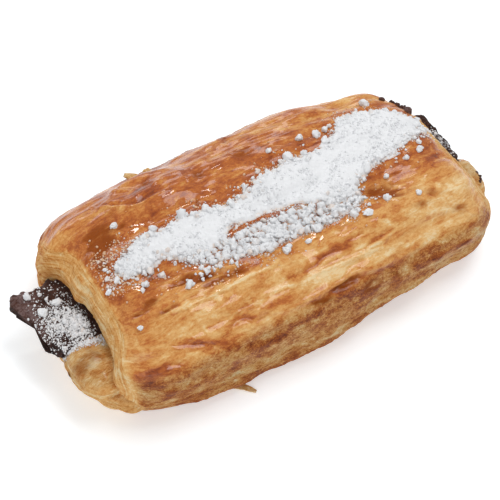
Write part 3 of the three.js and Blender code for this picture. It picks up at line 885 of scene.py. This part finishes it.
def slab_outline(count):
    """Evenly spaced places round the slab's section, in shares of its half width and half thickness."""
    low = np.linspace(0, 0.5 ** (1 / SLAB_POWER), 200)
    high = (1 - low**SLAB_POWER) ** (1 / SLAB_POWER)
    across = np.concatenate([high, low[-2::-1]])
    up = np.concatenate([low, high[-2::-1]])
    across = np.concatenate([across, -across[-2::-1], -across[1:], across[-2::-1]])
    up = np.concatenate([up, up[-2::-1], -up[1:], -up[-2::-1]])
    steps = np.hypot(np.diff(across) * SLAB_HALF_WIDTH, np.diff(up) * SLAB_HALF_THICKNESS)
    length = np.concatenate([[0], np.cumsum(steps)])
    even = np.linspace(0, length[-1], count, endpoint=False)
    return np.interp(even, length, across)[None, :], np.interp(even, length, up)[None, :]


def make_chocolate():
    x = slab_stations()[:, None]
    across, up = slab_outline(240)
    from_end = np.minimum(x - SLAB_NEAR, SLAB_FAR - x)
    pinch = 0.75 + 0.25 * rise(from_end, 0, 1.5)
    shows = rise(np.abs(x), 62, 66)
    free = np.where((across > 0) | (x < ROLLS[0][1]), 1, 0)
    near_share = np.clip((-70 - x) / 10, 0, 1)
    far_share = np.clip((x - 64) / 7, 0, 1)
    jag = 0.9 * lumps(x / 3.1, 0, 21) + 0.9 * layered(x / 1.2, up * 1.6, 22, 3)
    y = SLAB_Y + across * SLAB_HALF_WIDTH + shows * free * jag * across
    z = SLAB_Z + up * SLAB_HALF_THICKNESS * pinch
    crumbly = 0.35 * layered(x / 2.6, y / 2.6, 31, 3, 0.65) + 0.5 * (knobs(x, y, 1.5, 0.7, 91) - 0.5)
    crust = shows * (crumbly + 0.22 * layered(x / 0.8, y / 0.8, 33, 2) - 0.1)
    broken = near_share * (0.9 * lumps(y / 3.1, 5, 23) + layered(y / 1.2, up * 1.6, 24, 3))
    notch = (SLAB_NEAR_NOTCH * near_share - SLAB_FAR_NOTCH * far_share) * rise(-across, 0.55, 1)
    tip = notch - SLAB_TIP * near_share * rise(across, 0.2, 1)
    far_broken = rise(x, SLAB_FAR - 4, SLAB_FAR) * 0.8 * (layered(y / 2.2, up, 25, 3) - 0.5)
    points = np.stack(np.broadcast_arrays(x + tip + broken + far_broken, y, z + crust * np.abs(up)), -1)
    points[..., 0] = -drawn_in(-points[..., 0], 82.6, 0.6)
    top = rise(up * np.ones_like(x), 0.5, 0.95)
    px, py = points[..., 0], points[..., 1]
    bloom = np.clip(0.65 * top * rise(-px - 0.3 * (14 - py), 71, 78) + 0.15 * lumps(px / 4, py / 4, 35), 0, 1)
    fields = {"bloom": bloom, "dust": top * dust_cover(px, py), "place": points}
    faces = ring_faces(*points.shape[:2])
    points = closed_rings(points)
    fields = {key: closed_field(values) for key, values in fields.items()}
    piece = make_piece("chocolate_slab", points, faces, chocolate, fields)
    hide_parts("chocolate")
    return BVHTree.FromPolygons(points.tolist(), faces)


def dust_cover(x, y):
    """How thickly fine sugar lies on the chocolate: most in a patch in front of the near lip."""
    solid = 0.74 * np.exp(-(((x + 69.4) / 4) ** 4) - ((y + 1.4) / 6) ** 4)
    sprinkled = 0.5 * np.exp(-(((x + 73) / 5.5) ** 2) - ((y - 0.5) / 7) ** 2)
    gap = 1 - 0.75 * np.exp(-(((x + 73.8) / 1.8) ** 2) - ((y + 5.2) / 2) ** 2)
    far_patch = 0.5 * rise(x, 68, 71) * np.exp(-(((y - 4) / 6) ** 2))
    ragged = 0.55 * layered(x / 1.7, y / 1.7, 95, 3)
    return np.clip(np.maximum(solid, sprinkled) * gap * (1 + ragged) + far_patch, 0, 1)


# The sugar

BED_BACK = [
    (-54, 0), (-50, -3.2), (-45, -5), (-40, -6), (-34, -4), (-28, -4.6), (-20, -4), (-14, -2.6), (-8, -3), (0, -5),
    (8, -7.6), (14, -9.6), (20, -9), (26, -9.6), (31, -12), (35, -15.5), (38, -20.5), (48, -21.5), (54, -17), (60, -11),
    (64, -6),
]
BED_FRONT = [
    (-54, 1), (-51, 5), (-45, 6.4), (-40, 4.4), (-34, 8), (-27, 9.4), (-20, 9.6), (-17, 6.2), (-8, 6.6), (-2, 6.2),
    (8, 8), (11, 10.4), (16, 13), (22, 14), (27, 10.6), (31, 7.6), (36, 5), (42, 4), (50, 2.4), (56, 0.6), (60, -2),
    (64, -5),
]
FIELD_BACK = [(-34, 8), (-20, 9.5), (-8, 8.6), (2, 9), (12, 8), (28, 9)]
FIELD_FRONT = [(-34, 10), (-28, 14), (-20, 17), (-10, 18.6), (2, 17.6), (10, 19), (20, 19), (28, 16)]
STRAY_CLUMPS = [
    (-46, -15, 1.0), (-37, 18, 1.35), (-5, 21, 1.3), (-3.6, 20, 0.9), (3, 21.4, 0.9), (8, 19, 1.45), (20, 20.6, 1.2),
    (22, 19.6, 1.0), (24, 22.2, 1.4), (33, 19.8, 1.0), (43.4, 22.8, 0.95), (38.7, 11, 0.9), (22, -17, 1.2),
    (28, -16, 1.3), (32, -17.6, 1.2), (34, -18.4, 0.9), (10, -15.5, 0.9), (2.4, -9, 1.0), (4.6, -7.4, 0.7),
    (51, -25, 1.4), (48, 8, 1.0), (54, 6.4, 1.1), (55, 3.6, 0.9), (31, 9, 1.1), (33.6, 6, 1.4), (-48.4, 10.2, 1.2),
    (-50, 11.6, 0.9), (-42.4, 9.4, 1.1), (-36.6, -5.8, 1.1), (-27, -5.6, 1.5), (-19.4, -4.2, 1.1), (-55.6, 4, 0.9),
    (-60, 5.6, 0.9), (-57, -3, 0.7), (-58.4, 0.6, 0.7), (-12, 17.4, 1.1), (-10, 18.4, 1.3), (-14, 17.6, 1.1),
    (-20.4, 16.8, 0.9), (-31, 14, 0.8), (15, 14.6, 1.2), (12, 13, 1.2), (26.6, 19.2, 0.7), (-6, 14, 1.3),
    (-36.6, 15, 0.5), (-56.6, 23, 0.8), (45, 1.6, 1.1), (40, 3.6, 1.3), (-45, 6.6, 1.2), (14, -11, 1.5), (28.6, -11.6, 1.2),
]


# Clumps on the chocolate: x, y and radius.
SLAB_CLUMPS = [
    (-77.4, 15.2, 1.15), (-70.3, 8.7, 1.3), (-75.9, 7.4, 1.3), (-73.6, 14.4, 0.6), (-72.6, 11.6, 0.65), (-71.8, 9.9, 0.5),
    (-76.8, 11.4, 0.4), (-75.6, 12.6, 0.3), (-80.6, 8.4, 0.4), (-79.6, 5.0, 0.35), (-78.6, 2.6, 0.4), (-77.2, -1.6, 0.35),
    (-74.2, 3.4, 0.5), (-72.0, 5.2, 0.6), (-68.4, 4.4, 0.6), (-66.6, 0.6, 0.7), (-69.4, -2.4, 0.8), (-71.6, 0.8, 0.8),
    (-66.8, -3.6, 0.7), (-73.2, -1.2, 0.6), (-75.4, -3.2, 0.4), (-70.8, -5.2, 0.7), (-68.2, -4.6, 0.8), (71.0, 8.0, 0.6),
]
EDGE_CLUMPS = 320
FIELD_CLUMPS = 200


def along_edge(edge, x):
    places = np.array(edge, float)
    return np.interp(x, places[:, 0], places[:, 1])


def inside_band(x, v, back, front):
    """How far inside a band a place lies, in millimetres, less than 0 outside it."""
    across = np.minimum(v - along_edge(back, x), along_edge(front, x) - v)
    ends = np.minimum(x - back[0][0], back[-1][0] - x)
    return np.minimum(across, ends)


def bed_height(x, v):
    """The top of the sugar over the crust: a low bed with crumbly edges, and clumps side by side in front."""
    ragged = 1.1 * layered(x / 3, v / 3, 71, 3)
    near_end = rise(-x, 38, 51)
    ends = near_end + rise(x, 46, 58)
    bed = inside_band(x, v, BED_BACK, BED_FRONT) + ragged * (1 + ends) - 0.9 * near_end
    field = inside_band(x, v, FIELD_BACK, FIELD_FRONT) + 0.8 * ragged
    large = knobs(x, v, 2.0, 0.56, 5)
    small = knobs(x, v, 0.95, 0.62, 15)
    crumbly = 1 - rise(bed, 0.5, 3.5)
    grainy = 0.12 * layered(x / 0.6, v / 0.6, 73, 2)
    low = -0.4 + 1.05 * rise(bed, -0.6, 2.2)
    mound = low + (0.15 + 0.42 * crumbly) * large + (0.1 + 0.25 * crumbly) * small + grainy
    clumps = -0.95 + rise(field, -0.4, 1.0) * (1.75 * large + 0.5 * small + grainy)
    mound = np.where(bed > -0.8, mound, -1)
    return np.maximum(mound, np.where(field > -0.5, clumps, -1))


def make_sugar_bed(wrap):
    """A lumpy layer with its own underside, kept only where it stands above the crust or just below it."""
    step = 0.3
    xs = np.arange(-57, 66, step)
    vs = np.arange(-25, 21, step)
    x, v = np.meshgrid(xs, vs, indexing="ij")
    height = bed_height(x, v)
    points, normals = on_crust(wrap, x, v)
    top = points + normals * height[..., None]
    under = points + normals * np.minimum(height - 0.4, -0.5)[..., None]
    shown = height > -0.12
    cells = shown[:-1, :-1] | shown[1:, :-1] | shown[:-1, 1:] | shown[1:, 1:]
    count = x.size
    index = np.arange(count).reshape(x.shape)
    a, b, c, d = index[:-1, :-1], index[1:, :-1], index[1:, 1:], index[:-1, 1:]
    quads = np.stack([a, d, c, b], -1)[cells]
    faces = np.concatenate([quads, quads[:, ::-1] + count])
    padded = np.pad(cells, 1)
    walls = []
    for shift, p, q in (((-1, 0), a, d), ((1, 0), c, b), ((0, -1), b, a), ((0, 1), d, c)):
        beyond = padded[1 + shift[0] : padded.shape[0] - 1 + shift[0], 1 + shift[1] : padded.shape[1] - 1 + shift[1]]
        edge = cells & ~beyond
        walls.append(np.stack([p[edge], p[edge] + count, q[edge] + count, q[edge]], -1))
    faces = np.concatenate([faces, *walls])
    used, renamed = np.unique(faces, return_inverse=True)
    body = np.concatenate([top.reshape(-1, 3), under.reshape(-1, 3)])[used]
    thin = np.tile((1 - rise(height, 0.05, 0.5)).ravel(), 2)[used]
    fields = {"soaked": 0.45 * thin, "place": body}
    make_piece("sugar_bed", body, renamed.reshape(-1, 4).tolist(), sugar, fields)


def ball(rings):
    """The points and faces of a round ball."""
    mesh = bpy.data.meshes.new("ball")
    made = bmesh.new()
    bmesh.ops.create_icosphere(made, subdivisions=rings, radius=1)
    made.to_mesh(mesh)
    made.free()
    points = np.array([v.co[:] for v in mesh.vertices])
    faces = np.array([p.vertices[:] for p in mesh.polygons])
    bpy.data.meshes.remove(mesh)
    return points, faces


def scattered(name, centres, normals, sizes, soaked, rings, unevenness, draw, material):
    """Many small uneven balls in one mesh, each a little flattened, with its own turn."""
    points, faces = ball(rings)
    count = len(centres)
    turns = draw.normal(size=(count, 3, 3))
    turns = np.linalg.qr(turns)[0]
    turns[np.linalg.det(turns) < 0] *= -1
    stretch = 1 + 0.28 * draw.uniform(-1, 1, (count, 1, 3))
    key = draw.uniform(0, 90, (count, 1, 3))
    wave = lumps(points[None, :, 0] * 1.3 + key[..., 0], points[:, 1] * 1.3 + key[..., 1], points[:, 2] * 1.3 + key[..., 2])
    fine = lumps(points[None, :, 0] * 3.1 + key[..., 1], points[:, 1] * 3.1 + key[..., 2], points[:, 2] * 3.1 + key[..., 0])
    shape = points[None] * stretch * (1 + unevenness * (0.75 * wave + 0.5 * fine))[..., None]
    shape = np.einsum("nij,npj->npi", turns, shape) * sizes[:, None, None]
    body = (shape + centres[:, None, :]).reshape(-1, 3)
    all_faces = (faces[None] + np.arange(count)[:, None, None] * len(points)).reshape(-1, faces.shape[1])
    fields = {"soaked": np.repeat(soaked, len(points)), "place": body}
    if material is chocolate:
        fields = {"bloom": np.repeat(soaked, len(points)), "dust": np.zeros(len(body)), "place": body}
    return make_piece(name, body, all_faces.tolist(), material, fields)


def sugar_places(draw, wrap):
    """Where loose grains lie: thick near the bed's edges, thinner further off."""
    x = draw.uniform(-62, 66, 60000)
    v = draw.uniform(-27, 26, 60000)
    bed = inside_band(x, v, BED_BACK, BED_FRONT)
    field = inside_band(x, v, FIELD_BACK, FIELD_FRONT)
    off = -np.maximum(bed, field)
    clustered = 0.5 + 0.9 * layered(x / 4, v / 3, 81, 2)
    odds = np.where(off < 0.3, 0.25, 0.5 * np.exp(-off / 2.1)) * np.clip(clustered, 0, 1.4)
    near_end = 0.2 * rise(-x, 44, 52) * (1 - rise(-x, 59, 62)) * rise(14 - np.abs(v + 1), 0, 8)
    keep = draw.uniform(0, 1, len(x)) < odds + near_end
    x, v, off = x[keep][:5200], v[keep][:5200], off[keep][:5200]
    points, normals = on_crust(wrap, x, v)
    raised = np.maximum(bed_height(x, v), 0)
    return points + normals * raised[:, None], normals, off


def make_loose_sugar(wrap, trees):
    draw = np.random.default_rng(7)
    points, normals, off = sugar_places(draw, wrap)
    sizes = 0.12 + 0.34 * draw.uniform(0, 1, len(points)) ** 2.4
    soaked = np.clip(draw.uniform(-0.5, 1.0, len(points)) + 0.1 * off, 0, 1) * rise(off, -0.5, 1)
    centres = points + normals * (0.35 * sizes)[:, None]
    on_slab, slab_sizes = slab_grains(draw, trees)
    centres = np.concatenate([centres, on_slab])
    sizes = np.concatenate([sizes, slab_sizes])
    soaked = np.concatenate([soaked, 0.04 * np.ones(len(on_slab))])
    scattered("sugar_grains", centres, None, sizes, soaked, 1, 0.35, draw, sugar)

    strays = np.array(STRAY_CLUMPS)
    edge_x = draw.uniform(-54, 62, EDGE_CLUMPS)
    side = draw.uniform(0, 1, EDGE_CLUMPS) < 0.6
    front = np.maximum(along_edge(BED_FRONT, edge_x), np.where((edge_x > -34) & (edge_x < 28), 17, -99))
    edge_v = np.where(side, front, along_edge(BED_BACK, edge_x))
    edge_v = edge_v + np.where(side, 1, -1) * draw.normal(-1.0, 1.5, EDGE_CLUMPS)
    edge_sizes = 0.35 + 0.65 * draw.uniform(0, 1, EDGE_CLUMPS) ** 2
    field_x = draw.uniform(-33, 27, FIELD_CLUMPS)
    deep = draw.uniform(0, 1, FIELD_CLUMPS)
    field_v = along_edge(FIELD_BACK, field_x) * (1 - deep) + along_edge(FIELD_FRONT, field_x) * deep
    field_sizes = 0.35 + 0.6 * draw.uniform(0, 1, FIELD_CLUMPS) ** 1.5
    x = np.concatenate([strays[:, 0], edge_x, field_x])
    v = np.concatenate([strays[:, 1], edge_v, field_v])
    sizes = np.concatenate([strays[:, 2] * 0.92, edge_sizes, field_sizes])
    points, normals = on_crust(wrap, x, v)
    raised = np.maximum(bed_height(x, v), 0) * 0.6
    centres = points + normals * (raised + 0.45 * sizes)[:, None]
    on_slab = np.array(SLAB_CLUMPS)
    places, found = let_down(trees, on_slab[:, 0], on_slab[:, 1])
    places[:, 2] += 0.4 * on_slab[found, 2]
    centres = np.concatenate([centres, places])
    sizes = np.concatenate([sizes, on_slab[found, 2]])
    soaked = np.clip(draw.uniform(-1.6, 0.35, len(sizes)), 0, 1)
    scattered("sugar_clumps", centres, None, sizes, soaked, 3, 0.62, draw, sugar)


def slab_grains(draw, trees):
    """Powder on the chocolate in front of the near lip, along the near fold's border and at the far end."""
    x = np.concatenate([draw.uniform(-80, -64, 22000), draw.uniform(66, 72, 1500)])
    y = draw.uniform(-8, 18, len(x))
    keep = draw.uniform(0, 1, len(x)) < 0.55 * dust_cover(x, y) + 0.01
    x, y = x[keep][:4100], y[keep][:4100]
    border_x = draw.uniform(-77, -64, 500)
    border_y = FOLD_DUST_Y - 0.12 * (border_x + 72) + draw.normal(0, 0.9, 500)
    places, found = let_down(trees, np.append(x, border_x), np.append(y, border_y))
    sizes = 0.1 + 0.26 * draw.uniform(0, 1, len(found)) ** 2.2
    places[:, 2] += 0.4 * sizes[found]
    return places, sizes[found]


# Crumbs and flakes


def make_crumbs(wrap, trees):
    """Bits of chocolate on the far lip and the far fold."""
    draw = np.random.default_rng(11)
    x = np.array([61, 61.8, 62.4, 62.8, 63, 62.6, 61.4, 60.6, 62, 58])
    v = np.array([-27, -25.6, -24, -22, -20, -23, -26, -28, -18, -28])
    lip_points, lip_normals = on_crust(wrap, x, v)
    lip_sizes = draw.uniform(0.6, 1.3, len(x))
    fold_points, found = let_down(trees, np.array([73.6, 73.9, 73.2, 72.4]), np.array([-12.6, -13.8, -15.2, -16.2]))
    centres = np.concatenate([lip_points + lip_normals * 0.2, fold_points])
    sizes = np.concatenate([lip_sizes, np.full(len(fold_points), 0.55)])
    bloom = draw.uniform(0, 0.5, len(sizes))
    scattered("chocolate_crumbs", centres, None, sizes, bloom, 2, 0.5, draw, chocolate)


def make_flakes(wrap):
    """Thin curled leaves of crust that stand off the sides."""
    draw = np.random.default_rng(5)
    foot = on_crust(wrap, np.array([-31.0]), np.array([59.0]))[0][0]
    leaves = [
        ((-28, 31.5, 30), (-31.5, 36, 31), 3.6, 0.5),
        ((-25, 31, 29.6), (-24.5, 34.4, 31), 4.6, 0.6),
        ((foot[0] - 0.6, foot[1] + 3.6, 1.2), (foot[0] + 4.2, foot[1] - 1.6, 0.5), 2.6, 0.1),
    ]
    points = []
    faces = []
    across_count, along_count = 9, 13
    for root, tip, width, curl in leaves:
        root, tip = np.array(root), np.array(tip)
        along = tip - root
        sideways = np.cross([0, 0, 1], along)
        sideways = sideways / np.linalg.norm(sideways) * width / 2
        s = np.linspace(-1, 1, across_count)[:, None]
        t = np.linspace(0, 1, along_count)[None, :]
        ragged = 1 + 0.3 * lumps(t * 3, s * 2, root[0])
        outline = (1 - 0.6 * t**2) * ragged
        arch = curl * (1.6 * np.sin(2.6 * t) - 0.8 * s**2) + 0.25 * lumps(s * 2, t * 4, root[1])
        middle = root + along * t[..., None] + sideways * (s * outline)[..., None]
        sheet = middle + np.array([0, 0, 1]) * arch[..., None]
        thick = np.array([0, 0, 0.14])
        start = len(points)
        points.extend((sheet + thick).reshape(-1, 3).tolist())
        points.extend((sheet - thick).reshape(-1, 3).tolist())
        layer = across_count * along_count
        for i in range(across_count - 1):
            for j in range(along_count - 1):
                a = start + i * along_count + j
                faces.append([a, a + along_count, a + along_count + 1, a + 1])
                faces.append([a + layer, a + layer + 1, a + layer + along_count + 1, a + layer + along_count])
        rim = [(0, j) for j in range(along_count)] + [(i, along_count - 1) for i in range(1, across_count)]
        rim += [(across_count - 1, j) for j in range(along_count - 2, -1, -1)]
        rim += [(i, 0) for i in range(across_count - 2, 0, -1)]
        ids = [start + i * along_count + j for i, j in rim]
        for p, q in zip(ids, ids[1:] + ids[:1]):
            faces.append([p, q, q + layer, p + layer])
    points = np.array(points)
    shade = 0.18 + 0.12 * draw.uniform(-1, 1, len(points))
    fields = {
        "bake": shade,
        "glaze": np.full(len(points), 0.3),
        "amber": np.zeros(len(points)),
        "ends": np.zeros(len(points)),
        "crisp": np.full(len(points), 0.5),
        "dust": np.zeros(len(points)),
        "place": points,
    }
    make_piece("crust_flakes", points, faces, dough, fields)


def lay_table():
    size = 1.6
    mesh = bpy.data.meshes.new("table")
    corners = [(-size, -size, 0), (size, -size, 0), (size, size, 0), (-size, size, 0)]
    mesh.from_pydata(corners, [], [(0, 1, 2, 3)])
    mesh.materials.append(white_table())
    table = bpy.data.objects.new("table", mesh)
    table.location = (0, 0, -0.00002)
    bpy.context.scene.collection.objects.link(table)


place_camera()
light_the_table()
lay_table()
dough = baked_dough()
chocolate = dark_chocolate()
sugar = icing_sugar()
wrap = make_wrap()
inner_pieces = [make_roll(*roll) for roll in ROLLS]
inner_pieces.append(make_chocolate())
make_sugar_bed(wrap)
make_loose_sugar(wrap, inner_pieces)
make_crumbs(wrap, inner_pieces)
make_flakes(wrap)
